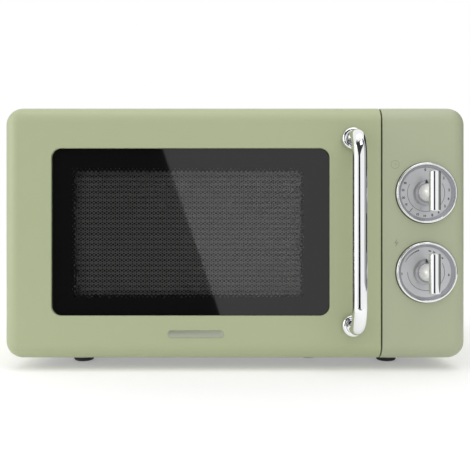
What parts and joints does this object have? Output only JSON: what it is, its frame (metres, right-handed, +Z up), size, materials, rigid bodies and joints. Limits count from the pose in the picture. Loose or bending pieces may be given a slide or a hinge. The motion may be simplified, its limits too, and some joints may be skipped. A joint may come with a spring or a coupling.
{
  "type": "microwave oven",
  "caption": "Retro countertop microwave oven with rounded painted front, black window, chrome tube handle and two chrome rotary grip knobs.",
  "frame": {"origin": "centre of the bounding box at the floor under the feet", "axes": "+X to the right seen from the front, +Y from the door to the back, +Z up"},
  "size_m": [0.451, 0.3858, 0.2575],
  "materials": {
    "door_paint": "gloss",
    "panel_paint": "gloss",
    "cabinet_paint": "gloss",
    "zinc_steel": "satin",
    "cavity_enamel": "satin",
    "black_steel": "satin",
    "black_plastic": "matte",
    "white_plastic": "satin",
    "chrome": "polished",
    "satin_silver": "satin",
    "black_glass": "gloss",
    "clear_glass": "gloss",
    "copper_wire": "satin",
    "black_rubber": "matte",
    "mica": "matte",
    "circuit_board": "matte"
  },
  "bodies": {
    "oven": {"outer_cabinet": "cabinet_paint", "base_plate": "zinc_steel", "rear_panel": "zinc_steel", "cord_gland": "black_plastic", "foot_front_left": "black_rubber", "foot_front_right": "black_rubber", "foot_rear_left": "black_rubber", "foot_rear_right": "black_rubber", "cavity_shell": "cavity_enamel", "cavity_front_plate": "cavity_enamel", "waveguide_cover": "mica", "hinge_bracket_lower": "zinc_steel", "hinge_bracket_upper": "zinc_steel", "turntable_motor": "zinc_steel", "control_panel": "panel_paint", "timer_bezel": "chrome", "power_bezel": "chrome", "timer_dial": "satin_silver", "power_dial": "satin_silver", "timer_unit": "zinc_steel", "power_selector": "white_plastic", "magnetron": "zinc_steel", "waveguide": "zinc_steel", "fan_shroud": "white_plastic", "fan_motor": "black_steel", "transformer_core": "black_steel", "transformer_winding": "copper_wire", "capacitor": "satin_silver", "filter_board": "circuit_board", "oven_lamp": "clear_glass", "interlock_bracket": "black_plastic", "primary_switch": "black_plastic", "secondary_switch": "black_plastic", "monitor_switch": "black_plastic"},
    "door": {"door_frame": "door_paint", "door_glass": "black_glass", "door_screen": "black_steel", "choke_frame": "zinc_steel", "choke_cover": "black_plastic", "door_inner_pane": "clear_glass", "latch_spring": "zinc_steel", "handle_bar": "chrome", "handle_ferrule_lower": "chrome", "handle_ferrule_upper": "chrome"},
    "latch": {"latch_hooks": "white_plastic"},
    "timer_grip": {"timer_knob": "chrome", "timer_spindle": "zinc_steel"},
    "power_grip": {"power_knob": "chrome", "power_spindle": "zinc_steel"},
    "tray": {"glass_tray": "clear_glass", "turntable_coupler": "white_plastic"},
    "roller_carrier": {"roller_ring": "white_plastic"},
    "roller_wheel_1": {"roller_1": "white_plastic"},
    "roller_wheel_2": {"roller_2": "white_plastic"},
    "roller_wheel_3": {"roller_3": "white_plastic"},
    "fan": {"fan_blade": "black_plastic"},
    "primary_plunger": {"primary_switch_plunger": "white_plastic"},
    "secondary_plunger": {"secondary_switch_plunger": "white_plastic"},
    "monitor_plunger": {"monitor_switch_plunger": "white_plastic"}
  },
  "joints": [
    {"name": "door_hinge", "type": "hinge", "parent": "oven", "child": "door", "pos_m": [-0.2135, -0.131, 0.1345], "axis": [0, 0, -1], "range_deg": [0, 95]},
    {"name": "latch_slide", "type": "slide", "parent": "door", "child": "latch", "axis": [0, 0, 1], "range_m": [0, 0.004], "stiffness_N_per_m": 300, "springref_m": -0.004, "deforming": ["latch_spring"]},
    {"name": "timer_turn", "type": "hinge", "parent": "oven", "child": "timer_grip", "pos_m": [0.1845, -0.149, 0.1731], "axis": [0, 1, 0], "range_deg": [0, 300]},
    {"name": "power_turn", "type": "hinge", "parent": "oven", "child": "power_grip", "pos_m": [0.1845, -0.149, 0.0966], "axis": [0, 1, 0], "range_deg": [-90, 135]},
    {"name": "tray_spin", "type": "hinge", "parent": "oven", "child": "tray", "pos_m": [-0.046, 0.0315, 0.0446], "axis": [0, 0, 1], "continuous": true},
    {"name": "roller_carrier_spin", "type": "hinge", "parent": "oven", "child": "roller_carrier", "pos_m": [-0.046, 0.0315, 0.0373], "axis": [0, 0, 1], "continuous": true},
    {"name": "roller_spin_1", "type": "hinge", "parent": "roller_carrier", "child": "roller_wheel_1", "pos_m": [-0.046, 0.1265, 0.0373], "axis": [0, 1, 0], "continuous": true},
    {"name": "roller_spin_2", "type": "hinge", "parent": "roller_carrier", "child": "roller_wheel_2", "pos_m": [-0.12827, -0.016, 0.0373], "axis": [-0.866, -0.5, 0], "continuous": true},
    {"name": "roller_spin_3", "type": "hinge", "parent": "roller_carrier", "child": "roller_wheel_3", "pos_m": [0.03627, -0.016, 0.0373], "axis": [0.866, -0.5, 0], "continuous": true},
    {"name": "fan_spin", "type": "hinge", "parent": "oven", "child": "fan", "pos_m": [0.166, 0.156, 0.178], "axis": [0, 1, 0], "continuous": true},
    {"name": "primary_press", "type": "slide", "parent": "oven", "child": "primary_plunger", "axis": [0, -1, 0], "range_m": [-0.0015, 0], "stiffness_N_per_m": 200},
    {"name": "secondary_press", "type": "slide", "parent": "oven", "child": "secondary_plunger", "axis": [0, -1, 0], "range_m": [-0.0015, 0], "stiffness_N_per_m": 200},
    {"name": "monitor_press", "type": "slide", "parent": "oven", "child": "monitor_plunger", "axis": [0, 0, 1], "range_m": [-0.0015, 0], "stiffness_N_per_m": 200}
  ],
  "couplings": [
    {"joint": "roller_carrier_spin", "follows": "tray_spin", "ratio": 0.5},
    {"joint": "roller_spin_1", "follows": "tray_spin", "ratio": -6.7857},
    {"joint": "roller_spin_2", "follows": "tray_spin", "ratio": -6.7857},
    {"joint": "roller_spin_3", "follows": "tray_spin", "ratio": -6.7857}
  ]
}
